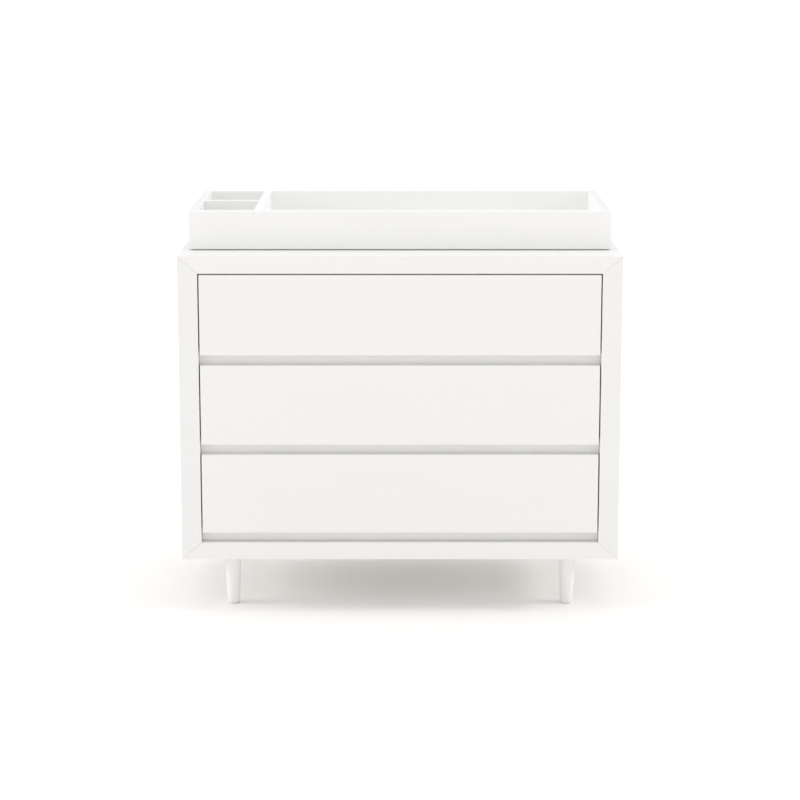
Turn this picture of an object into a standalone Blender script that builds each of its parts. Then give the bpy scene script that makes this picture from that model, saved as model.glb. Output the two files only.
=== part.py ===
"""Changing table: a three-drawer dresser on four turned legs, with a lift-off changing tray on top.

X runs along the width, -Y is the front and +Z is up. The origin is on the floor, below the middle
of the case. Every board is a bevelled box; mitres and chamfers are saw cuts across it, and grooves
are Boolean cuts. Each sliding group hangs on an empty, whose place is on the slide's own line.
"""

import math

import bmesh
import bpy
from mathutils import Vector

# Case, legs and the gaps between pieces (metres)
CASE_WIDTH = 1.067
CASE_DEPTH = 0.550
CASE_HEIGHT = 0.750
LEG_HEIGHT = 0.133
SIDE_THICKNESS = 0.048
DECK_THICKNESS = 0.0425
GAP = 0.0003
EASE = 0.0015
FINE_EASE = 0.0008
PANEL_EASE = 0.0003
EASE_STEPS = 3
FINE_STEPS = 2
SEAM_EASE = 0.0003
SHARP_ANGLE = math.radians(40)

# Back panel, held in a groove of the four case panels
BACK_THICKNESS = 0.006
BACK_INSET = 0.010
GROOVE_DEPTH = 0.007

# Drawer fronts and the rails behind the finger gaps
DRAWERS = ("top", "middle", "bottom")
FRONT_HEIGHT = 0.196
FRONT_THICKNESS = 0.020
FRONT_INSET = 0.0005
REVEAL = 0.003
FINGER_BEVEL_HEIGHT = 0.013
FINGER_BEVEL_DEPTH = 0.011
RAIL_THICKNESS = 0.020
RAIL_ABOVE_FRONT_EDGE = 0.0135
RAIL_BELOW_FRONT_EDGE = 0.004

# Drawer boxes
BOX_RAISE = 0.018
BOX_HEIGHT = 0.140
BOX_LENGTH = 0.457
BOX_BOARD = 0.012
BOX_BOTTOM = 0.005
BOX_BOTTOM_RAISE = 0.010

# Ball-bearing slides: three nested channels, from the case side inwards
SLIDE_LENGTH = 0.457
SLIDE_WIDTH = 0.0127
SLIDE_HEIGHT = 0.045
SLIDE_STEEL = 0.0012
SLIDE_START = 0.0225
BALL_ROOM = 0.0033
CASE_MEMBER = (0.0003, 0.0095)
MIDDLE_MEMBER = (0.0033, 0.0116)
DRAWER_MEMBER = (0.0062, 0.0124)

# Legs and their hanger bolts
LEG_TOP_RADIUS = 0.0204
LEG_FOOT_RADIUS = 0.0155
LEG_FOOT_ROUND = 0.004
LEG_FROM_SIDE = 0.119
LEG_FROM_FRONT = 0.075
LEG_SIDES = 40
FOOT_STEPS = 4
BOLT_RADIUS = 0.004
BOLT_IN_LEG = 0.028
BOLT_IN_DECK = 0.024
BOLT_SIDES = 20

# Changing tray
TRAY_WIDTH = 1.0275
TRAY_DEPTH = 0.4475
TRAY_HEIGHT = 0.0945
TRAY_SETBACK = 0.102
TRAY_BOARD = 0.021
TRAY_DIVIDER = 0.019
TRAY_EASE = 0.002
CADDY_WIDTH = 0.137
CADDY_SPLIT = 0.49
TRAY_FLOOR = 0.005
TRAY_FLOOR_RAISE = 0.008
PAD_RADIUS = 0.008
PAD_HEIGHT = 0.002
PAD_FROM_END = 0.045

# Heights and faces worked out from the dimensions above
CASE_BOTTOM = LEG_HEIGHT
CASE_TOP = LEG_HEIGHT + CASE_HEIGHT
INNER_BOTTOM = CASE_BOTTOM + DECK_THICKNESS
INNER_TOP = CASE_TOP - DECK_THICKNESS
OPENING_HALF = CASE_WIDTH / 2 - SIDE_THICKNESS
FACE = -CASE_DEPTH / 2
REAR = CASE_DEPTH / 2
FINGER_GAP = (INNER_TOP - INNER_BOTTOM - REVEAL) / len(DRAWERS) - FRONT_HEIGHT
FRONT_FACE = FACE + FRONT_INSET
FRONT_BACK = FRONT_FACE + FRONT_THICKNESS
RAIL_FACE = FRONT_BACK + GAP
BOX_HALF = OPENING_HALF - SLIDE_WIDTH - GAP
BOX_START = FRONT_BACK + GAP
BOX_END = BOX_START + BOX_LENGTH
TRAY_FACE = FACE + TRAY_SETBACK
TRAY_REAR = TRAY_FACE + TRAY_DEPTH
TRAY_BOTTOM = CASE_TOP + PAD_HEIGHT
TRAY_TOP = TRAY_BOTTOM + TRAY_HEIGHT


def clear_scene():
    for obj in list(bpy.data.objects):
        bpy.data.objects.remove(obj, do_unlink=True)


def new_collection(name):
    collection = bpy.data.collections.new(name)
    bpy.context.scene.collection.children.link(collection)
    return collection


def new_material(name, color, roughness, metallic=0.0):
    material = bpy.data.materials.new(name)
    material.use_nodes = True
    shader = material.node_tree.nodes["Principled BSDF"]
    shader.inputs["Base Color"].default_value = (*color, 1.0)
    shader.inputs["Roughness"].default_value = roughness
    shader.inputs["Metallic"].default_value = metallic
    return material


def add_object(name, data, place, material, parent=None):
    """A new object at a place in the world, hung on its parent empty where it has one."""
    obj = bpy.data.objects.new(name, data)
    PARTS.objects.link(obj)
    obj.parent = parent
    obj.location = Vector(place) - (parent.location if parent else Vector())
    data.materials.append(material)
    return obj


def slide_empty(name, place):
    """The empty that a sliding group hangs on."""
    empty = bpy.data.objects.new(name, None)
    empty.empty_display_size = 0.05
    empty.location = place
    PARTS.objects.link(empty)
    return empty


def box_bmesh(size):
    bm = bmesh.new()
    bmesh.ops.create_cube(bm, size=1.0)
    bmesh.ops.scale(bm, vec=size, verts=bm.verts)
    return bm


def ease_edges(bm, radius, steps):
    bmesh.ops.bevel(
        bm, geom=bm.edges[:], offset=radius, segments=steps, profile=0.5, affect="EDGES"
    )


def saw(bm, point, normal, weights):
    """Cuts away what lies beyond a plane, and marks the new edges for the fine bevel of a seam."""
    everything = bm.verts[:] + bm.edges[:] + bm.faces[:]
    bmesh.ops.bisect_plane(bm, geom=everything, plane_co=point, plane_no=normal, clear_outer=True)
    rim = [edge for edge in bm.edges if edge.is_boundary]
    for edge in rim:
        edge[weights] = 1.0
    bmesh.ops.holes_fill(bm, edges=rim)


def board(name, low, high, material, parent=None, cuts=(), ease=EASE, steps=EASE_STEPS):
    """A box between two corners, with its edges eased before it is sawn along its cuts."""
    low, high = Vector(low), Vector(high)
    middle = (low + high) / 2
    bm = box_bmesh(high - low)
    ease_edges(bm, ease, steps)
    weights = bm.edges.layers.float.new("bevel_weight_edge")
    for point, normal in cuts:
        saw(bm, Vector(point) - middle, normal, weights)
    mesh = bpy.data.meshes.new(name)
    bm.to_mesh(mesh)
    bm.free()
    mesh.shade_smooth()
    mesh.set_sharp_from_angle(angle=SHARP_ANGLE)
    obj = add_object(name, mesh, middle, material, parent)
    if cuts:
        seam = obj.modifiers.new("seam_edges", "BEVEL")
        seam.limit_method = "WEIGHT"
        seam.width = SEAM_EASE
        seam.segments = 1
    return obj


def fine_board(name, low, high, material, parent=None):
    """A board of an inner part, with smaller eased edges."""
    return board(name, low, high, material, parent, ease=FINE_EASE, steps=FINE_STEPS)


def thin_panel(name, low, high, material, parent=None):
    """A thin panel held in grooves, with its edges just broken."""
    return board(name, low, high, material, parent, ease=PANEL_EASE, steps=1)


def mitre(outer, inner, along, keep):
    """The saw cut through a seam's outer and inner corner, which spares the side of one point."""
    outer, inner, keep = Vector(outer), Vector(inner), Vector(keep)
    normal = (outer - inner).cross(Vector(along)).normalized()
    if normal.dot(keep - outer) > 0:
        normal = -normal
    return outer - normal * (GAP / 2), normal


def cutter_box(name, low, high):
    low, high = Vector(low), Vector(high)
    mesh = bpy.data.meshes.new(name)
    bm = box_bmesh(high - low)
    bm.to_mesh(mesh)
    bm.free()
    return add_cutter(name, mesh, (low + high) / 2)


def add_cutter(name, mesh, place):
    obj = bpy.data.objects.new(name, mesh)
    obj.location = place
    obj.hide_render = True
    obj.display_type = "WIRE"
    CUTTERS.objects.link(obj)
    return obj


def subtract(obj, cutter):
    cut = obj.modifiers.new(cutter.name, "BOOLEAN")
    cut.operation = "DIFFERENCE"
    cut.solver = "EXACT"
    cut.object = cutter


def groove(boards, name, low, high):
    """Grooves round a panel: the panel's own box, with a gap all round it, cut from each board."""
    margin = Vector((GAP, GAP, GAP))
    cutter = cutter_box(name, Vector(low) - margin, Vector(high) + margin)
    for obj in boards:
        subtract(obj, cutter)


def cylinder_mesh(name, radius, height, sides):
    """An upright cylinder, centred, with smooth sides and sharp rims."""
    mesh = bpy.data.meshes.new(name)
    bm = bmesh.new()
    bmesh.ops.create_cone(
        bm, cap_ends=True, segments=sides, radius1=radius, radius2=radius, depth=height
    )
    bm.to_mesh(mesh)
    bm.free()
    mesh.shade_smooth()
    mesh.set_sharp_from_angle(angle=SHARP_ANGLE)
    return mesh


def case_mitre(side, level, keep):
    """The mitre cut at one corner of the case front; side is -1 or 1, level is -1 low or 1 high."""
    outer_z = CASE_TOP if level > 0 else CASE_BOTTOM
    outer = (side * CASE_WIDTH / 2, 0, outer_z)
    inner = (side * OPENING_HALF, 0, outer_z - level * DECK_THICKNESS)
    return mitre(outer, inner, (0, 1, 0), keep)


def make_case(paint, panel_paint):
    """Top, bottom and two sides, mitred at their four corners, round a back panel in grooves."""
    half = CASE_WIDTH / 2
    middle_z = (CASE_TOP + CASE_BOTTOM) / 2
    boards = {}
    for name, level, low_z, high_z in (
        ("case_top", 1, INNER_TOP, CASE_TOP),
        ("case_bottom", -1, CASE_BOTTOM, INNER_BOTTOM),
    ):
        keep = (0, 0, (low_z + high_z) / 2)
        cuts = [case_mitre(side, level, keep) for side in (-1, 1)]
        boards[name] = board(name, (-half, FACE, low_z), (half, REAR, high_z), paint, cuts=cuts)
    for name, side in (("case_left_side", -1), ("case_right_side", 1)):
        low_x, high_x = sorted((side * OPENING_HALF, side * half))
        keep = ((low_x + high_x) / 2, 0, middle_z)
        cuts = [case_mitre(side, level, keep) for level in (-1, 1)]
        boards[name] = board(
            name, (low_x, FACE, CASE_BOTTOM), (high_x, REAR, CASE_TOP), paint, cuts=cuts
        )
    reach = GROOVE_DEPTH - GAP
    back_face = REAR - BACK_INSET - BACK_THICKNESS
    low = (-OPENING_HALF - reach, back_face, INNER_BOTTOM - reach)
    high = (OPENING_HALF + reach, back_face + BACK_THICKNESS, INNER_TOP + reach)
    thin_panel("case_back_panel", low, high, panel_paint)
    groove(boards.values(), "case_back_groove", low, high)
    return boards


def front_bottom(index):
    """The height of the lower edge of one drawer front, counted from the top drawer."""
    return INNER_TOP - REVEAL - (index + 1) * FRONT_HEIGHT - index * FINGER_GAP


def make_rails(paint):
    """A rail behind each finger gap; the lowest one stands on the case bottom."""
    for index, level in enumerate(DRAWERS):
        high_z = front_bottom(index) + RAIL_ABOVE_FRONT_EDGE
        low_z = front_bottom(index) - FINGER_GAP - RAIL_BELOW_FRONT_EDGE
        low_z = max(low_z, INNER_BOTTOM + GAP)
        reach = OPENING_HALF - GAP
        low = (-reach, RAIL_FACE, low_z)
        high = (reach, RAIL_FACE + RAIL_THICKNESS, high_z)
        fine_board(f"front_rail_{level}", low, high, paint)


def channel_outline(near, far, height, opens_inwards):
    """The C section of a slide member, from the case side (near) towards the drawer (far)."""
    web, lip = (near, far) if opens_inwards else (far, near)
    steel = SLIDE_STEEL if opens_inwards else -SLIDE_STEEL
    top = height / 2
    inner = top - SLIDE_STEEL
    points = [
        (web, -top),
        (lip, -top),
        (lip, -inner),
        (web + steel, -inner),
        (web + steel, inner),
        (lip, inner),
        (lip, top),
        (web, top),
    ]
    return points if opens_inwards else points[::-1]


def extruded_outline(name, points, length):
    """A flat outline filled on both sides and extruded to a length."""
    curve = bpy.data.curves.new(name, "CURVE")
    curve.dimensions = "2D"
    curve.fill_mode = "BOTH"
    curve.extrude = length / 2
    spline = curve.splines.new("POLY")
    spline.points.add(len(points) - 1)
    for point, (x, y) in zip(spline.points, points):
        point.co = (x, y, 0.0, 1.0)
    spline.use_cyclic_u = True
    return curve


def slide_member(name, span, height, opens_inwards, side, centre_z, steel, parent=None):
    """One steel channel of a slide, along Y, on the left (side -1) or right (side 1) of a drawer."""
    outline = channel_outline(*span, height, opens_inwards)
    curve = extruded_outline(name, outline, SLIDE_LENGTH)
    place = (side * OPENING_HALF, FACE + SLIDE_START + SLIDE_LENGTH / 2, centre_z)
    obj = add_object(name, curve, place, steel, parent)
    obj.rotation_euler = (math.radians(90), 0, math.radians(180) if side > 0 else 0)


def make_slides(index, level, drawer, runner, steel):
    """The left and right slide of one drawer: three nested channels each, with room for balls."""
    centre_z = front_bottom(index) + BOX_RAISE + BOX_HEIGHT / 2
    middle_height = SLIDE_HEIGHT - 2 * (SLIDE_STEEL + BALL_ROOM)
    inner_height = middle_height - 2 * (SLIDE_STEEL + BALL_ROOM)
    for side, word in ((-1, "left"), (1, "right")):
        stem = f"slide_{level}_{word}"
        slide_member(f"{stem}_case_member", CASE_MEMBER, SLIDE_HEIGHT, True, side, centre_z, steel)
        slide_member(
            f"{stem}_middle_member", MIDDLE_MEMBER, middle_height, True, side, centre_z, steel, runner
        )
        slide_member(
            f"{stem}_drawer_member", DRAWER_MEMBER, inner_height, False, side, centre_z, steel, drawer
        )


def make_drawer_front(name, low_z, paint, parent):
    """The drawer front, chamfered behind its lower edge so that fingers can hook it."""
    reach = OPENING_HALF - REVEAL
    low = (-reach, FRONT_FACE, low_z)
    high = (reach, FRONT_BACK, low_z + FRONT_HEIGHT)
    chamfer = mitre(
        (0, FRONT_BACK, low_z + FINGER_BEVEL_HEIGHT),
        (0, FRONT_BACK - FINGER_BEVEL_DEPTH, low_z),
        (1, 0, 0),
        (0, FRONT_FACE, low_z + FRONT_HEIGHT),
    )
    return board(name, low, high, paint, parent, cuts=[chamfer])


def make_drawer(index, level, paint, birch, panel, steel):
    """A drawer: its front, two sides, back and bottom, and the slides that carry it."""
    low_z = front_bottom(index)
    line_z = low_z + BOX_RAISE + BOX_HEIGHT / 2
    drawer = slide_empty(f"drawer_{level}_slide_line", (0, FRONT_FACE, line_z))
    runner = slide_empty(f"drawer_{level}_runner_line", (0, FRONT_FACE, line_z))
    front = make_drawer_front(f"drawer_{level}_front", low_z, paint, drawer)
    base = low_z + BOX_RAISE
    top = base + BOX_HEIGHT
    boards = [front]
    for side, word in ((-1, "left"), (1, "right")):
        low_x, high_x = sorted((side * BOX_HALF, side * (BOX_HALF - BOX_BOARD)))
        low, high = (low_x, BOX_START, base), (high_x, BOX_END, top)
        boards.append(fine_board(f"drawer_{level}_{word}_side", low, high, birch, drawer))
    inside = BOX_HALF - BOX_BOARD - GAP
    low, high = (-inside, BOX_END - BOX_BOARD, base), (inside, BOX_END, top)
    boards.append(fine_board(f"drawer_{level}_back", low, high, birch, drawer))
    reach = BOX_BOARD / 2
    floor_z = base + BOX_BOTTOM_RAISE
    low = (-inside - reach, BOX_START - reach, floor_z)
    high = (inside + reach, BOX_END - BOX_BOARD + reach, floor_z + BOX_BOTTOM)
    thin_panel(f"drawer_{level}_bottom", low, high, panel, drawer)
    groove(boards, f"drawer_{level}_groove", low, high)
    make_slides(index, level, drawer, runner, steel)


def leg_profile():
    """The outline of a leg at +X: up the bolt's bore, over the top and down the taper to the foot."""
    top = LEG_HEIGHT - GAP
    bore = BOLT_RADIUS + GAP
    bore_end = top - BOLT_IN_LEG - GAP
    points = [(0.0, bore_end), (bore, bore_end), (bore, top)]
    points.append((LEG_TOP_RADIUS - EASE, top))
    points.append((LEG_TOP_RADIUS, top - EASE))
    for step in range(FOOT_STEPS + 1):
        turn = math.radians(90) * step / FOOT_STEPS
        radius = LEG_FOOT_RADIUS - LEG_FOOT_ROUND * (1 - math.cos(turn))
        points.append((radius, LEG_FOOT_ROUND * (1 - math.sin(turn))))
    points.append((0.0, 0.0))
    return points


def turned_mesh(name, profile):
    """A mesh with the open profile, ready for a Screw modifier round Z."""
    mesh = bpy.data.meshes.new(name)
    bm = bmesh.new()
    corners = [bm.verts.new((radius, 0.0, z)) for radius, z in profile]
    for start, end in zip(corners, corners[1:]):
        bm.edges.new((start, end))
    bm.to_mesh(mesh)
    bm.free()
    return mesh


def make_legs(case_bottom, paint, steel):
    """Four turned legs, each on a hanger bolt in a bore of the case bottom."""
    leg_x = CASE_WIDTH / 2 - LEG_FROM_SIDE
    leg_y = CASE_DEPTH / 2 - LEG_FROM_FRONT
    bolt_low = LEG_HEIGHT - BOLT_IN_LEG
    bolt_high = LEG_HEIGHT + BOLT_IN_DECK
    bore_high = bolt_high + GAP
    bore_low = CASE_BOTTOM - EASE
    profile = leg_profile()
    for name, x, y in (
        ("front_left", -leg_x, -leg_y),
        ("front_right", leg_x, -leg_y),
        ("rear_left", -leg_x, leg_y),
        ("rear_right", leg_x, leg_y),
    ):
        leg = add_object(f"leg_{name}", turned_mesh(f"leg_{name}", profile), (x, y, 0), paint)
        turn = leg.modifiers.new("turned", "SCREW")
        turn.steps = LEG_SIDES
        turn.render_steps = LEG_SIDES
        turn.use_merge_vertices = True
        turn.merge_threshold = 0.00001
        turn.use_smooth_shade = True
        bolt = cylinder_mesh(f"leg_bolt_{name}", BOLT_RADIUS, bolt_high - bolt_low, BOLT_SIDES)
        add_object(f"leg_bolt_{name}", bolt, (x, y, (bolt_low + bolt_high) / 2), steel)
        bore_name = f"leg_bore_{name}"
        bore = cylinder_mesh(bore_name, BOLT_RADIUS + GAP, bore_high - bore_low, BOLT_SIDES)
        subtract(case_bottom, add_cutter(bore_name, bore, (x, y, (bore_low + bore_high) / 2)))


def tray_mitre(side, end, keep):
    """The mitre cut at one corner of the tray; side is -1 left or 1 right, end -1 front or 1 rear."""
    outer_y = TRAY_REAR if end > 0 else TRAY_FACE
    outer = (side * TRAY_WIDTH / 2, outer_y, 0)
    inner = (side * (TRAY_WIDTH / 2 - TRAY_BOARD), outer_y - end * TRAY_BOARD, 0)
    return mitre(outer, inner, (0, 0, 1), (*keep, 0))


def make_tray_boards(paint, lift):
    """The four outer boards of the tray, mitred at its corners."""
    half = TRAY_WIDTH / 2
    middle_y = (TRAY_FACE + TRAY_REAR) / 2
    boards = []
    for name, end in (("tray_front", -1), ("tray_back", 1)):
        outer_y = TRAY_FACE if end < 0 else TRAY_REAR
        low_y, high_y = sorted((outer_y, outer_y - end * TRAY_BOARD))
        cuts = [tray_mitre(side, end, (0, (low_y + high_y) / 2)) for side in (-1, 1)]
        low, high = (-half, low_y, TRAY_BOTTOM), (half, high_y, TRAY_TOP)
        boards.append(board(name, low, high, paint, lift, cuts, ease=TRAY_EASE))
    for name, side in (("tray_left", -1), ("tray_right", 1)):
        low_x, high_x = sorted((side * half, side * (half - TRAY_BOARD)))
        cuts = [tray_mitre(side, end, ((low_x + high_x) / 2, middle_y)) for end in (-1, 1)]
        low, high = (low_x, TRAY_FACE, TRAY_BOTTOM), (high_x, TRAY_REAR, TRAY_TOP)
        boards.append(board(name, low, high, paint, lift, cuts, ease=TRAY_EASE))
    return boards


def make_tray(paint, panel_paint, rubber):
    """The lift-off tray: outer boards round a floor, with a divided caddy at its left end."""
    lift = slide_empty("tray_lift_line", (0, (TRAY_FACE + TRAY_REAR) / 2, TRAY_BOTTOM))
    inner_left = -TRAY_WIDTH / 2 + TRAY_BOARD
    inner_face = TRAY_FACE + TRAY_BOARD
    inner_rear = TRAY_REAR - TRAY_BOARD
    floor_low = TRAY_BOTTOM + TRAY_FLOOR_RAISE
    floor_high = floor_low + TRAY_FLOOR
    boards = make_tray_boards(paint, lift)
    reach = GROOVE_DEPTH - GAP
    low = (inner_left - reach, inner_face - reach, floor_low)
    high = (-inner_left + reach, inner_rear + reach, floor_high)
    thin_panel("tray_floor", low, high, panel_paint, lift)
    groove(boards, "tray_floor_groove", low, high)

    divider_left = inner_left + CADDY_WIDTH
    low = (divider_left, inner_face + GAP, floor_high + GAP)
    high = (divider_left + TRAY_DIVIDER, inner_rear - GAP, TRAY_TOP)
    board("tray_divider", low, high, paint, lift)

    split_y = inner_face + CADDY_SPLIT * (inner_rear - inner_face)
    low = (inner_left + GAP, split_y - TRAY_DIVIDER / 2, floor_high + GAP)
    high = (divider_left - GAP, split_y + TRAY_DIVIDER / 2, TRAY_TOP)
    board("tray_caddy_divider", low, high, paint, lift)
    make_tray_pads(rubber, lift)


def make_tray_pads(rubber, lift):
    """A low pad under each end of the tray's left and right boards."""
    pad_x = (TRAY_WIDTH - TRAY_BOARD) / 2
    for name, side, y in (
        ("front_left", -1, TRAY_FACE + PAD_FROM_END),
        ("front_right", 1, TRAY_FACE + PAD_FROM_END),
        ("rear_left", -1, TRAY_REAR - PAD_FROM_END),
        ("rear_right", 1, TRAY_REAR - PAD_FROM_END),
    ):
        mesh = cylinder_mesh(f"tray_pad_{name}", PAD_RADIUS, PAD_HEIGHT - 2 * GAP, BOLT_SIDES)
        add_object(f"tray_pad_{name}", mesh, (side * pad_x, y, CASE_TOP + PAD_HEIGHT / 2), rubber, lift)


def main():
    paint = new_material("white_paint", (0.84, 0.83, 0.81), 0.38)
    panel_paint = new_material("white_panel", (0.80, 0.79, 0.77), 0.5)
    birch = new_material("birch_board", (0.66, 0.52, 0.36), 0.5)
    birch_ply = new_material("birch_ply", (0.70, 0.57, 0.40), 0.55)
    steel = new_material("zinc_steel", (0.62, 0.63, 0.64), 0.35, 1.0)
    rubber = new_material("grey_rubber", (0.18, 0.18, 0.18), 0.8)
    case = make_case(paint, panel_paint)
    make_rails(paint)
    make_legs(case["case_bottom"], paint, steel)
    for index, level in enumerate(DRAWERS):
        make_drawer(index, level, paint, birch, birch_ply, steel)
    make_tray(paint, panel_paint, rubber)


clear_scene()
PARTS = new_collection("changing_table")
CUTTERS = new_collection("cutters")
main()
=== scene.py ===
"""The looks of a white painted changing table: a three-drawer dresser under a lift-off tray.

The CAD boards keep their shapes and get smooth shading and procedural materials. The legs, the
drawer slides and the pads are rebuilt finer, in the places that the frame gives them, and the
drawers get their screws and cam locks.
"""

import math

import bmesh
import bpy
from mathutils import Matrix, Vector

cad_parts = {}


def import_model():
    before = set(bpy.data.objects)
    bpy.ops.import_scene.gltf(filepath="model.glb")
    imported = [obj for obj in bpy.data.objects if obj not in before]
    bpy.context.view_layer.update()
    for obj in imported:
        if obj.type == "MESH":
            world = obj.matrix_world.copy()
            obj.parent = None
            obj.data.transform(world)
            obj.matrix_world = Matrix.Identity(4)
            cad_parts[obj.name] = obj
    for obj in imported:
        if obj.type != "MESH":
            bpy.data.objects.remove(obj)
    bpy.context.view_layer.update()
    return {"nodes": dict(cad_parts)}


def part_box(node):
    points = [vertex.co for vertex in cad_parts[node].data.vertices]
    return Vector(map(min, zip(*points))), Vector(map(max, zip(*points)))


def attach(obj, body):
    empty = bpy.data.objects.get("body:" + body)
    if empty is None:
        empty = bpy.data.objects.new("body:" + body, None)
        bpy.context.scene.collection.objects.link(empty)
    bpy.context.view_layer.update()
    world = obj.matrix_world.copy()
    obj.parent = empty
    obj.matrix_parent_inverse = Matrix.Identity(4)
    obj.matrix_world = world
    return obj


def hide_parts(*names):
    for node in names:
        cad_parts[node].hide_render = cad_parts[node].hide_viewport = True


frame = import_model()
NODES = frame["nodes"]
LEVELS = ("top", "middle", "bottom")
SIDES = ("left", "right")
CORNERS = ("front_left", "front_right", "rear_left", "rear_right")
WELD = 0.00001
SMOOTH_ANGLE = math.radians(38)


# ---------------------------------------------------------------- node helpers

# Where a noise value mostly lies, and where the sum of two does.
NOISE_RANGE = (0.3, 0.7)
SUM_RANGE = (0.7, 1.3)


class Shader:
    """A material's node tree, with short calls for the nodes that the materials below share."""

    def __init__(self, name):
        self.material = bpy.data.materials.new(name)
        self.material.use_nodes = True
        self.tree = self.material.node_tree
        self.principled = self.tree.nodes["Principled BSDF"]

    def node(self, kind, inputs=None, **settings):
        made = self.tree.nodes.new(kind)
        for key, value in settings.items():
            setattr(made, key, value)
        for key, value in (inputs or {}).items():
            self.feed(made.inputs[key], value)
        return made

    def feed(self, socket, value):
        """Links another socket to this one, or sets it to a plain value."""
        if isinstance(value, bpy.types.NodeSocket):
            self.tree.links.new(value, socket)
        else:
            socket.default_value = value

    def set(self, key, value):
        self.feed(self.principled.inputs[key], value)

    def position(self, scale=(1.0, 1.0, 1.0)):
        """The point on the piece in metres, in the shared frame, with a scale on each axis."""
        place = self.node("ShaderNodeTexCoord").outputs["Object"]
        return self.node("ShaderNodeMapping", {"Vector": place, "Scale": scale}).outputs["Vector"]

    def noise(self, vector, scale, detail=2.0, rough=0.5, distortion=0.0):
        inputs = {
            "Vector": vector,
            "Scale": scale,
            "Detail": detail,
            "Roughness": rough,
            "Distortion": distortion,
        }
        return self.node("ShaderNodeTexNoise", inputs).outputs["Fac"]

    def span(self, value, low, high, from_low=NOISE_RANGE[0], from_high=NOISE_RANGE[1]):
        """A noise value spread over a range."""
        inputs = {
            "Value": value,
            "From Min": from_low,
            "From Max": from_high,
            "To Min": low,
            "To Max": high,
        }
        return self.node("ShaderNodeMapRange", inputs).outputs["Result"]

    def mix(self, factor, first, second):
        """A colour between two others."""
        colours = {0: factor, 6: first, 7: second}
        return self.node("ShaderNodeMix", colours, data_type="RGBA").outputs[2]

    def combine(self, operation, first, second):
        return self.node("ShaderNodeMath", {0: first, 1: second}, operation=operation).outputs[0]

    def weigh(self, first, share, second):
        """The sum of two values, of which the first has this share and the second has the rest."""
        one = self.combine("MULTIPLY", first, share)
        other = self.combine("MULTIPLY", second, 1.0 - share)
        return self.combine("ADD", one, other)

    def bump(self, height, distance, strength=1.0, below=None):
        inputs = {"Height": height, "Distance": distance, "Strength": strength}
        if below is not None:
            inputs["Normal"] = below
        return self.node("ShaderNodeBump", inputs).outputs["Normal"]


def rgb(*values):
    return (*values, 1.0)


def scales(axis, across, along):
    """Noise scales that stretch a pattern along one axis."""
    return [along if name == axis else across for name in "XYZ"]


# ---------------------------------------------------------------- materials

# Noise scales are in repeats per metre: one number where the pattern is even, and where it runs
# along an axis, across that axis and then along it. CLOUD_STRETCH is a factor on X, Y and Z. Depths
# are in metres.
CLOUD_STRETCH = (0.3, 1.0, 1.0)
CLOUD_SCALE = 7.0
SPECK_SCALE = 160.0
CLOUD_SHARE = 0.85
SHEEN_SCALE = 38.0
PEEL_SCALE = 650.0
PEEL_DEPTH = 0.00003
WAVE_SCALE = 11.0
WAVE_DEPTH = 0.0006
PAINT_IOR = 1.47

WARP_SCALE = 3.0
BANDS = (26.0, 1.1)
STREAKS = (420.0, 7.0)
BAND_SHARE = 0.7
WARP_SHARE = 0.35
PORE_SHARE = 0.55
STREAK_DEPTH = 0.00012
WOOD_ROUGHNESS = (0.42, 0.58)

DRAWN_LINES = (900.0, 14.0)
LINE_DEPTH = 0.00004
ZINC_CLOUD_SCALE = 45.0
ZINC_DARK = (0.57, 0.585, 0.60)
ZINC_LIGHT = (0.66, 0.67, 0.68)
ZINC_ROUGHNESS = (0.24, 0.42)

GRAIN_SCALE = 1400.0
GRAIN_DEPTH = 0.00005
MOTTLE_SCALE = 60.0


def satin_paint(name, light, dark, roughness):
    """Sprayed satin paint: faint cloudy shade, fine orange peel and a slowly uneven board."""
    m = Shader(name)
    place = m.position()
    cloud = m.noise(m.position(CLOUD_STRETCH), CLOUD_SCALE, detail=4.0, rough=0.6)
    speck = m.noise(place, SPECK_SCALE, detail=3.0, rough=0.6)
    shade = m.weigh(cloud, CLOUD_SHARE, speck)
    m.set("Base Color", m.mix(m.span(shade, 0.0, 1.0), rgb(*dark), rgb(*light)))
    peel = m.noise(place, PEEL_SCALE)
    sheen = m.combine("ADD", m.noise(place, SHEEN_SCALE, detail=3.0, rough=0.6), peel)
    m.set("Roughness", m.span(sheen, roughness - 0.05, roughness + 0.06, *SUM_RANGE))
    wave = m.bump(m.noise(place, WAVE_SCALE), WAVE_DEPTH, strength=0.5)
    m.set("Normal", m.bump(peel, PEEL_DEPTH, strength=0.4, below=wave))
    m.set("IOR", PAINT_IOR)
    return m.material


def board_wood(name, along, light, dark, pore):
    """Clear-coated wood, with its grain along one axis: wide soft bands, fine streaks and pores."""
    m = Shader(name)
    warp = m.noise(m.position(), WARP_SCALE, detail=3.0, rough=0.55)
    grown = m.position(scales(along, *BANDS))
    bands = m.noise(grown, 1.0, detail=5.0, rough=0.62, distortion=0.9)
    streak = m.noise(m.position(scales(along, *STREAKS)), 1.0, detail=3.0, rough=0.6)
    tone = m.weigh(bands, BAND_SHARE, streak)
    wood = m.mix(m.span(tone, 0.0, 1.0, from_low=0.32, from_high=0.68), rgb(*dark), rgb(*light))
    cloud = m.mix(m.span(warp, 0.0, WARP_SHARE), wood, rgb(*dark))
    pores = m.span(streak, 0.0, PORE_SHARE, from_low=0.66, from_high=0.8)
    m.set("Base Color", m.mix(pores, cloud, rgb(*pore)))
    m.set("Roughness", m.span(streak, *WOOD_ROUGHNESS))
    m.set("Normal", m.bump(streak, STREAK_DEPTH, strength=0.5))
    return m.material


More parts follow.
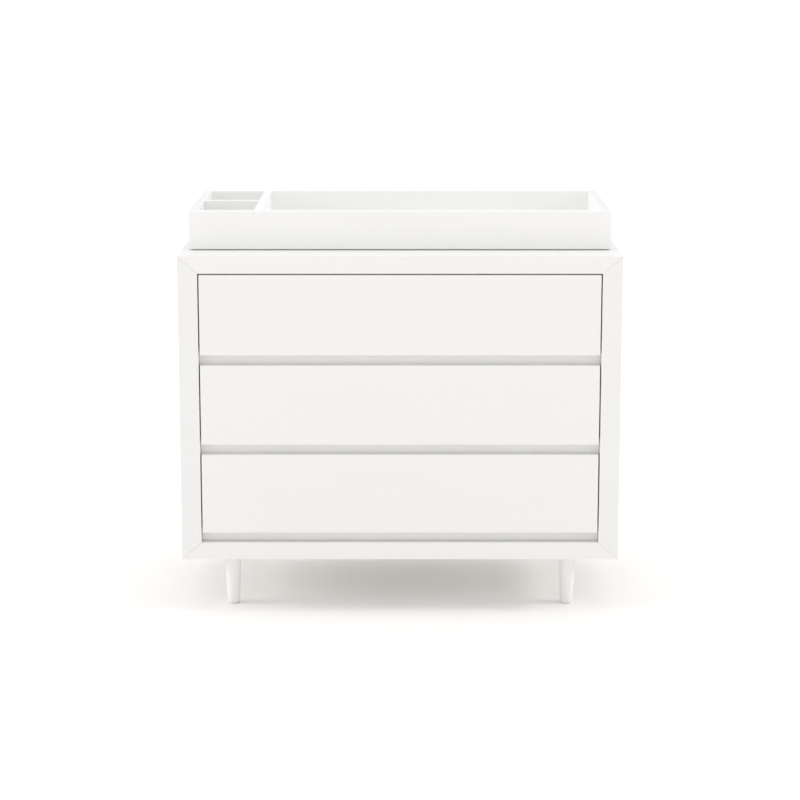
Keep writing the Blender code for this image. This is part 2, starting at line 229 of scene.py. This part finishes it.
def zinc_steel(name):
    """Rolled, zinc-plated steel: drawn lines along the strip and a slow change of brightness."""
    m = Shader(name)
    lines = m.noise(m.position(scales("Y", *DRAWN_LINES)), 1.0, detail=3.0, rough=0.6)
    cloud = m.noise(m.position(), ZINC_CLOUD_SCALE, detail=4.0, rough=0.65)
    m.set("Base Color", m.mix(m.span(cloud, 0.0, 1.0), rgb(*ZINC_DARK), rgb(*ZINC_LIGHT)))
    m.set("Metallic", 1.0)
    m.set("Roughness", m.span(m.combine("ADD", lines, cloud), *ZINC_ROUGHNESS, *SUM_RANGE))
    m.set("Normal", m.bump(lines, LINE_DEPTH, strength=0.5))
    return m.material


def moulded_rubber(name, light, dark, roughness):
    """Moulded rubber with a fine matt texture."""
    m = Shader(name)
    place = m.position()
    grain = m.noise(place, GRAIN_SCALE)
    mottle = m.span(m.noise(place, MOTTLE_SCALE), 0.0, 1.0)
    m.set("Base Color", m.mix(mottle, rgb(*dark), rgb(*light)))
    m.set("Roughness", m.span(grain, roughness - 0.06, roughness + 0.06))
    m.set("Normal", m.bump(grain, GRAIN_DEPTH, strength=0.6))
    return m.material


# Each material: its light and dark colour, and its roughness or the colour of its pores.
PAINT = satin_paint("white_paint", (0.890, 0.885, 0.875), (0.878, 0.873, 0.862), 0.40)
# A lighter copy of the white paint for the tray and the front rails: painted light that brightens
# their inner walls and recesses, not a whiter paint.
PAINTED_LIGHT_PAINT = satin_paint("white_paint_with_painted_light", (0.918, 0.916, 0.911), (0.907, 0.905, 0.899), 0.40)
PANEL_PAINT = satin_paint("white_panel", (0.930, 0.926, 0.918), (0.918, 0.914, 0.905), 0.5)
BIRCH_COLOURS = ((0.74, 0.60, 0.43), (0.62, 0.47, 0.31), (0.44, 0.30, 0.17))
BIRCH = {axis: board_wood(f"birch_board_{axis}", axis, *BIRCH_COLOURS) for axis in "XY"}
PLY = board_wood("birch_ply", "X", (0.77, 0.65, 0.48), (0.68, 0.54, 0.37), (0.50, 0.36, 0.22))
ZINC = zinc_steel("zinc_steel")
RUBBER = moulded_rubber("grey_rubber", (0.16, 0.16, 0.16), (0.12, 0.12, 0.12), 0.75)


# ---------------------------------------------------------------- mesh helpers

def smooth_group():
    """Geometry nodes that join a mesh's loose triangles and shade it smooth below an angle."""
    tree = bpy.data.node_groups.new("smooth_below_angle", "GeometryNodeTree")
    tree.interface.new_socket("Geometry", in_out="INPUT", socket_type="NodeSocketGeometry")
    tree.interface.new_socket("Geometry", in_out="OUTPUT", socket_type="NodeSocketGeometry")
    enter = tree.nodes.new("NodeGroupInput")
    leave = tree.nodes.new("NodeGroupOutput")
    join = tree.nodes.new("GeometryNodeMergeByDistance")
    join.inputs["Distance"].default_value = WELD
    faces = tree.nodes.new("GeometryNodeSetShadeSmooth")
    angle = tree.nodes.new("GeometryNodeInputMeshEdgeAngle")
    below = tree.nodes.new("FunctionNodeCompare")
    below.data_type = "FLOAT"
    below.operation = "LESS_EQUAL"
    below.inputs[1].default_value = SMOOTH_ANGLE
    edges = tree.nodes.new("GeometryNodeSetShadeSmooth")
    edges.domain = "EDGE"
    links = tree.links
    links.new(enter.outputs[0], join.inputs["Geometry"])
    links.new(join.outputs[0], faces.inputs["Geometry"])
    links.new(faces.outputs[0], edges.inputs["Geometry"])
    links.new(angle.outputs["Unsigned Angle"], below.inputs[0])
    links.new(below.outputs[0], edges.inputs["Shade Smooth"])
    links.new(edges.outputs[0], leave.inputs[0])
    return tree


SMOOTH = smooth_group()
REBUILT = ("leg_front_", "leg_rear_", "slide_", "tray_pad_")
THIN_PANELS = ("case_back_panel", "tray_floor")


def arc(centre, radius, start, end, steps=6):
    """The points along an arc in a plane, from one angle to another in degrees."""
    across, up = centre
    turns = [math.radians(start + (end - start) * step / steps) for step in range(steps + 1)]
    return [(across + radius * math.cos(turn), up + radius * math.sin(turn)) for turn in turns]


def middle(low, high):
    """The middle of a box, seen from above."""
    return (low.x + high.x) / 2, (low.y + high.y) / 2


def finished(bm, name):
    """The mesh of a bmesh, smooth apart from its sharp edges."""
    bmesh.ops.recalc_face_normals(bm, faces=bm.faces)
    mesh = bpy.data.meshes.new(name)
    bm.to_mesh(mesh)
    bm.free()
    mesh.shade_smooth()
    mesh.set_sharp_from_angle(angle=SMOOTH_ANGLE)
    return mesh


def turned(name, profile, centre, steps):
    """A shape turned round Z. Its profile of (radius, height) points starts and ends on the axis."""
    bm = bmesh.new()
    corners = [bm.verts.new((radius, 0.0, z)) for radius, z in profile]
    edges = [bm.edges.new(pair) for pair in zip(corners, corners[1:])]
    bmesh.ops.spin(
        bm,
        geom=corners + edges,
        cent=(0, 0, 0),
        axis=(0, 0, 1),
        angle=math.tau,
        steps=steps,
        use_merge=True,
    )
    bmesh.ops.remove_doubles(bm, verts=bm.verts, dist=WELD / 10)
    bmesh.ops.translate(bm, verts=bm.verts, vec=(*centre, 0.0))
    return finished(bm, name)


def copies(name, mesh, places):
    """One mesh that holds a copy of another at each place."""
    bm = bmesh.new()
    for place in places:
        start = len(bm.verts)
        bm.from_mesh(mesh)
        bm.verts.ensure_lookup_table()
        bmesh.ops.transform(bm, matrix=place, verts=bm.verts[start:])
    return finished(bm, name)


def piece(name, mesh, material, body, slot, *replaced):
    """A new piece, with its material, its body and the CAD nodes that it stands for. The slot that
    names its finish is not used.
    """
    obj = bpy.data.objects.new(name, mesh)
    bpy.context.scene.collection.objects.link(obj)
    mesh.materials.clear()
    mesh.materials.append(material)
    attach(obj, body)
    if replaced:
        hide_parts(*replaced)
    return obj


def dress(node, material):
    """Gives a CAD node its material, and shades its eased edges smooth while its faces stay flat."""
    obj = NODES[node]
    custom = obj.data.attributes.get("custom_normal")
    if custom:
        obj.data.attributes.remove(custom)
    obj.data.materials.clear()
    obj.data.materials.append(material)
    obj.modifiers.new("smooth", "NODES").node_group = SMOOTH
    flat = obj.modifiers.new("flat_faces", "WEIGHTED_NORMAL")
    flat.keep_sharp = True


def board_material(node):
    """The material of a CAD node that keeps its own shape."""
    if node in THIN_PANELS:
        return PANEL_PAINT
    if node.startswith("leg_bolt_"):
        return ZINC
    # The tray and the front rails get the lighter copy of the white paint, which is painted light.
    if node.startswith(("tray_", "front_rail_")):
        return PAINTED_LIGHT_PAINT
    if not node.startswith("drawer_") or node.endswith("_front"):
        return PAINT
    if node.endswith("_bottom"):
        return PLY
    return BIRCH["X" if node.endswith("_back") else "Y"]


def dress_boards():
    for node in NODES:
        if not node.startswith(REBUILT):
            dress(node, board_material(node))


# ---------------------------------------------------------------- legs and pads

FOOT_RADIUS = 0.0155
FOOT_ROUND = 0.0070
FOOT_STEPS = 12
TOP_EASE = 0.0015
BORE_GAP = 0.0003
LEG_STEPS = 96
PAD_STEPS = 48


def leg_profile(top, top_radius, bore, bore_end):
    """A leg's outline: from the bolt's bore over the eased top and down to the rounded foot."""
    points = [(0.0, bore_end), (bore, bore_end), (bore, top)]
    points += arc((top_radius - TOP_EASE, top - TOP_EASE), TOP_EASE, 90, 0)
    points += arc((FOOT_RADIUS - FOOT_ROUND, FOOT_ROUND), FOOT_ROUND, 0, -90, FOOT_STEPS)
    points.append((0.0, 0.0))
    return points


def disc_profile(low, high, radius, ease):
    """The outline of a low disc with eased rims."""
    return [
        (0.0, high),
        *arc((radius - ease, high - ease), ease, 90, 0),
        *arc((radius - ease, low + ease), ease, 0, -90),
        (0.0, low),
    ]


def legs():
    for corner in CORNERS:
        low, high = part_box(f"leg_{corner}")
        bolt_low, bolt_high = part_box(f"leg_bolt_{corner}")
        bore = (bolt_high.x - bolt_low.x) / 2 + BORE_GAP
        profile = leg_profile(high.z, (high.x - low.x) / 2, bore, bolt_low.z - BORE_GAP)
        name = f"turned_leg_{corner}"
        leg = turned(name, profile, middle(low, high), LEG_STEPS)
        piece(name, leg, PAINT, "case", "white_paint", f"leg_{corner}")


def tray_pads():
    for corner in CORNERS:
        low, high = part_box(f"tray_pad_{corner}")
        profile = disc_profile(low.z, high.z, (high.x - low.x) / 2, (high.z - low.z) / 3)
        name = f"moulded_pad_{corner}"
        pad = turned(name, profile, middle(low, high), PAD_STEPS)
        piece(name, pad, RUBBER, "tray", "grey_rubber", f"tray_pad_{corner}")


# ---------------------------------------------------------------- drawer slides and fixings

STEEL = 0.0012
CAGE_STEEL = 0.0005
BEND = 0.0014
LIP = 0.0024
BALL_RADIUS = 0.0016
BALL_PITCH = 0.012
BALL_AROUND = 12
BALL_UP = 8
CAGE_ROOM = 0.0005
SCREW_RADIUS = 0.0034
SCREW_HEIGHT = 0.0011
SCREW_FROM_END = 0.030
CAM_RADIUS = 0.0075
CAM_HEIGHT = 0.0005
CAM_FROM_FRONT = 0.024
FIXING_FROM_EDGE = 0.035
FLUSH_RADIUS = 0.0040
FLUSH_HEIGHT = 0.0003
HEAD_STEPS = 32

# A screw head's rim as a share of its height, the turns along its dome, and its recess's length and
# width as shares of its radius.
RIM_SHARE = 0.35
DOME_TURNS = (0.3, 0.6, 0.9, 1.2)
RECESS = (1.1, 0.22)


def channel_path(width, height, steel, lip):
    """The middle line of a rolled channel's section: a web, round bends, flanges and inward lips."""
    web, rim = steel / 2, width - steel / 2
    top = (height - steel) / 2
    upper = [(web, 0.0), *arc((web + BEND, top - BEND), BEND, 180, 90)]
    if lip:
        upper += arc((rim - BEND, top - BEND), BEND, 90, 0)
        upper.append((rim, top - lip))
    else:
        upper.append((rim, top))
    return [(depth, -z) for depth, z in reversed(upper[1:])] + upper


def channel(name, low, high, web_low, steel=STEEL, lip=LIP):
    """A channel along Y that fills a box, with its web at the low or high X."""
    middle_z = (low.z + high.z) / 2
    bm = bmesh.new()
    rows = []
    for depth, z in channel_path(high.x - low.x, high.z - low.z, steel, lip):
        x = low.x + depth if web_low else high.x - depth
        rows.append([bm.verts.new((x, y, middle_z + z)) for y in (low.y, high.y)])
    for (a, b), (c, d) in zip(rows, rows[1:]):
        bm.faces.new((a, b, d, c))
    return finished(bm, name)


def thicken(obj, steel):
    """Gives a rolled sheet its thickness, half of it on each side."""
    thick = obj.modifiers.new("sheet", "SOLIDIFY")
    thick.thickness = steel
    thick.offset = 0.0
    thick.use_even_offset = True


def cage_box(outer, inner, at_front):
    """The box of the ball cage between two channels, in the front or rear half of the outer one."""
    (outer_low, outer_high), (_, inner_high) = outer, inner
    middle_y = (outer_low.y + outer_high.y) / 2
    middle_z = (outer_low.z + outer_high.z) / 2
    half = ((outer_high.z - STEEL) + inner_high.z) / 2 + CAGE_STEEL / 2 - middle_z
    front, rear = (outer_low.y, middle_y) if at_front else (middle_y, outer_high.y)
    wall = STEEL + CAGE_ROOM
    low = Vector((outer_low.x + wall, front + BALL_PITCH / 2, middle_z - half))
    high = Vector((outer_high.x - wall, rear - BALL_PITCH * 2, middle_z + half))
    return low, high


def cage(stem, low, high, web_low, body):
    """A ball cage: a thin channel, with a row of balls in each of its flanges."""
    name = f"{stem}_cage"
    sheet = channel(name, low, high, web_low, CAGE_STEEL, 0.0)
    thicken(piece(name, sheet, ZINC, body, "zinc_steel"), CAGE_STEEL)
    x = high.x - BALL_RADIUS if web_low else low.x + BALL_RADIUS
    bm = bmesh.new()
    for z in (low.z + CAGE_STEEL / 2, high.z - CAGE_STEEL / 2):
        for index in range(int((high.y - low.y) / BALL_PITCH)):
            bmesh.ops.create_uvsphere(
                bm,
                u_segments=BALL_AROUND,
                v_segments=BALL_UP,
                radius=BALL_RADIUS,
                matrix=Matrix.Translation((x, low.y + BALL_PITCH * (index + 0.5), z)),
            )
    name = f"{stem}_balls"
    piece(name, finished(bm, name), ZINC, body, "zinc_steel")


def slide(level, side):
    """One telescopic slide: three channels, and the two ball cages that run between them."""
    stem = f"{level}_{side}"
    runners = f"runners_{level}"
    left = side == "left"
    members = (
        ("case", "case", left),
        ("middle", runners, left),
        ("drawer", f"drawer_{level}", not left),
    )
    boxes = {}
    for member, body, web_low in members:
        node = f"slide_{level}_{side}_{member}_member"
        boxes[member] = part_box(node)
        name = f"{stem}_{member}_channel"
        sheet = channel(name, *boxes[member], web_low)
        thicken(piece(name, sheet, ZINC, body, "zinc_steel", node), STEEL)
    outer = cage_box(boxes["case"], boxes["middle"], at_front=False)
    cage(f"{stem}_outer", *outer, left, runners)
    inner = cage_box(boxes["middle"], boxes["drawer"], at_front=True)
    cage(f"{stem}_inner", *inner, left, runners)


def recess_bar(name, x, y, height):
    """One bar of a cross recess, half sunk into a head of this height."""
    bm = bmesh.new()
    bmesh.ops.create_cube(bm, size=1.0)
    bmesh.ops.scale(bm, vec=(x, y, height), verts=bm.verts)
    bmesh.ops.translate(bm, vec=(0.0, 0.0, height), verts=bm.verts)
    return bpy.data.objects.new(name, finished(bm, name))


def cross_head(name, radius, height):
    """A low domed screw head that faces +Z from z = 0, with a cross recess."""
    rim = height * RIM_SHARE
    profile = [(0.0, 0.0), (radius, 0.0), (radius, rim)]
    for turn in DOME_TURNS:
        profile.append((radius * math.cos(turn), rim + (height - rim) * math.sin(turn)))
    profile.append((0.0, height))
    head = bpy.data.objects.new(name, turned(name, profile, (0.0, 0.0), HEAD_STEPS))
    length, width = (share * radius for share in RECESS)
    bars = [
        recess_bar(f"{name}_recess_0", length, width, height),
        recess_bar(f"{name}_recess_1", width, length, height),
    ]
    for bar in bars:
        cut = head.modifiers.new(bar.name, "BOOLEAN")
        cut.operation = "DIFFERENCE"
        cut.object = bar
    for helper in (head, *bars):
        bpy.context.scene.collection.objects.link(helper)
    depsgraph = bpy.context.evaluated_depsgraph_get()
    mesh = bpy.data.meshes.new_from_object(head.evaluated_get(depsgraph))
    for helper in (head, *bars):
        bpy.data.objects.remove(helper)
    return mesh


def facing(x, y, z, direction):
    """The place of a head that sits at a point and faces +X (1) or -X (-1)."""
    turn = math.radians(90.0) * direction
    return Matrix.Translation((x, y, z)) @ Matrix.Rotation(turn, 4, "Y")


def drawer_fixings(level, screw, flush, cam):
    """A drawer's slide screws, the flush screws of its back and the cam locks of its front."""
    slide_places, back_places, cam_places = [], [], []
    back_low, back_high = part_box(f"drawer_{level}_back")
    back_y = (back_low.y + back_high.y) / 2
    for side, outward in (("left", -1), ("right", 1)):
        low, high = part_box(f"slide_{level}_{side}_drawer_member")
        seat = high.x - STEEL if outward < 0 else low.x + STEEL
        middle_z = (low.z + high.z) / 2
        for y in (low.y + SCREW_FROM_END, (low.y + high.y) / 2, high.y - SCREW_FROM_END):
            slide_places.append(facing(seat, y, middle_z, outward))
        low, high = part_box(f"drawer_{level}_{side}_side")
        outer, inner = (low.x, high.x) if outward < 0 else (high.x, low.x)
        for z in (low.z + FIXING_FROM_EDGE, high.z - FIXING_FROM_EDGE):
            back_places.append(facing(outer, back_y, z, outward))
            cam_places.append(facing(inner, low.y + CAM_FROM_FRONT, z, -outward))
    for name, head, places in (
        (f"{level}_slide_screws", screw, slide_places),
        (f"{level}_back_screws", flush, back_places),
        (f"{level}_cam_locks", cam, cam_places),
    ):
        piece(name, copies(name, head, places), ZINC, f"drawer_{level}", "zinc_steel")


def drawers():
    screw = cross_head("screw_head", SCREW_RADIUS, SCREW_HEIGHT)
    flush = cross_head("flush_head", FLUSH_RADIUS, FLUSH_HEIGHT)
    cam = cross_head("cam_head", CAM_RADIUS, CAM_HEIGHT)
    for level in LEVELS:
        for side in SIDES:
            slide(level, side)
        drawer_fixings(level, screw, flush, cam)


# ---------------------------------------------------------------- stage

CAMERA_DISTANCE = 5.0
CAMERA_HEIGHT = 1.61
CAMERA_LENS = 95.2
CAMERA_SENSOR = 36.0
CAMERA_SHIFT = -0.08
CAMERA_PITCH = math.radians(10.43)

FLOOR_REACH = 60.0
FLOOR_COLOUR = (0.985, 0.967, 0.952)
GLOW_COLOUR = (1.0, 0.98, 0.96)
GLOW_START = 1.5
GLOW_FULL = 3.2
NEAR_GLOW = 0.01
FAR_GLOW = 0.20
SURROUND_LIGHT = 0.85
SURROUND_SEEN = 1.05

# Each softbox: its place, what it faces, its size in metres and its power in watts.
SOFTBOXES = {
    "overhead": ((0.0, 0.35, 8.0), (0.0, 0.0, 0.0), (7.0, 3.0), 50.0),
    "left": ((-6.4, -0.5, 2.76), (0.0, 0.0, 0.1), (2.0, 2.0), 120.0),
    "right": ((5.6, -0.5, 3.24), (0.0, 0.0, 0.1), (1.1, 1.1), 86.0),
    "back": ((0.0, 6.0, 6.0), (0.0, 0.0, 0.3), (5.0, 2.5), 40.0),
}


def floor():
    """A wide pale floor. Far from the part it glows, and so runs into the white of the surround."""
    mesh = bpy.data.meshes.new("floor")
    bm = bmesh.new()
    bmesh.ops.create_grid(bm, x_segments=1, y_segments=1, size=FLOOR_REACH)
    bm.to_mesh(mesh)
    bm.free()
    obj = bpy.data.objects.new("floor", mesh)
    bpy.context.scene.collection.objects.link(obj)
    m = Shader("pale_floor")
    m.set("Base Color", rgb(*FLOOR_COLOUR))
    m.set("Roughness", 1.0)
    m.set("Specular IOR Level", 0.0)
    away = m.node("ShaderNodeVectorMath", {"Vector": m.position()}, operation="LENGTH")
    glow = m.node(
        "ShaderNodeMapRange",
        {
            "Value": away.outputs["Value"],
            "From Min": GLOW_START,
            "From Max": GLOW_FULL,
            "To Min": NEAR_GLOW,
            "To Max": FAR_GLOW,
        },
        interpolation_type="SMOOTHSTEP",
    )
    m.set("Emission Color", rgb(*GLOW_COLOUR))
    m.set("Emission Strength", glow.outputs["Result"])
    mesh.materials.append(m.material)


def world():
    """A white surround, plain white to the eye and dimmer as a light."""
    made = bpy.data.worlds.new("studio")
    bpy.context.scene.world = made
    made.use_nodes = True
    tree = made.node_tree
    tree.nodes.clear()
    path = tree.nodes.new("ShaderNodeLightPath")
    light, seen = (tree.nodes.new("ShaderNodeBackground") for _ in range(2))
    for background, strength in ((light, SURROUND_LIGHT), (seen, SURROUND_SEEN)):
        background.inputs["Color"].default_value = rgb(1.0, 1.0, 1.0)
        background.inputs["Strength"].default_value = strength
    mix = tree.nodes.new("ShaderNodeMixShader")
    out = tree.nodes.new("ShaderNodeOutputWorld")
    tree.links.new(path.outputs["Is Camera Ray"], mix.inputs[0])
    tree.links.new(light.outputs[0], mix.inputs[1])
    tree.links.new(seen.outputs[0], mix.inputs[2])
    tree.links.new(mix.outputs[0], out.inputs["Surface"])


def softbox(name, place, target, size, power):
    """A rectangular area light at a place, turned to a target."""
    data = bpy.data.lights.new(name, "AREA")
    data.shape = "RECTANGLE"
    data.size, data.size_y = size
    data.energy = power
    obj = bpy.data.objects.new(name, data)
    bpy.context.scene.collection.objects.link(obj)
    obj.location = place
    obj.rotation_mode = "QUATERNION"
    obj.rotation_quaternion = (Vector(target) - Vector(place)).to_track_quat("-Z", "Y")
    return obj


def flag_off(light, nodes):
    """Keeps a light's rays off nodes that would burn out in them, as a studio's black flag does."""
    flagged = bpy.data.collections.new(f"{light.name}_flagged")
    for node in nodes:
        flagged.objects.link(NODES[node])
    light.light_linking.receiver_collection = flagged
    for entry in flagged.collection_objects:
        entry.light_linking.link_state = "EXCLUDE"


def camera():
    """The photographer's place: centred, well in front of the case and looking a little down."""
    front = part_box("case_top")[0].y
    data = bpy.data.cameras.new("camera")
    data.sensor_width = CAMERA_SENSOR
    data.lens = CAMERA_LENS
    data.shift_y = CAMERA_SHIFT
    obj = bpy.data.objects.new("camera", data)
    bpy.context.scene.collection.objects.link(obj)
    obj.location = (0.0, front - CAMERA_DISTANCE, CAMERA_HEIGHT)
    obj.rotation_euler = (math.radians(90.0) - CAMERA_PITCH, 0.0, 0.0)
    bpy.context.scene.camera = obj


# ---------------------------------------------------------------- the scene

dress_boards()
legs()
tray_pads()
drawers()
floor()
world()
for name, (place, target, size, power) in SOFTBOXES.items():
    light = softbox(name, place, target, size, power)
    if name in SIDES:
        flag_off(light, (f"case_{name}_side", f"tray_{name}"))
camera()
bpy.context.scene.view_settings.view_transform = "Standard"
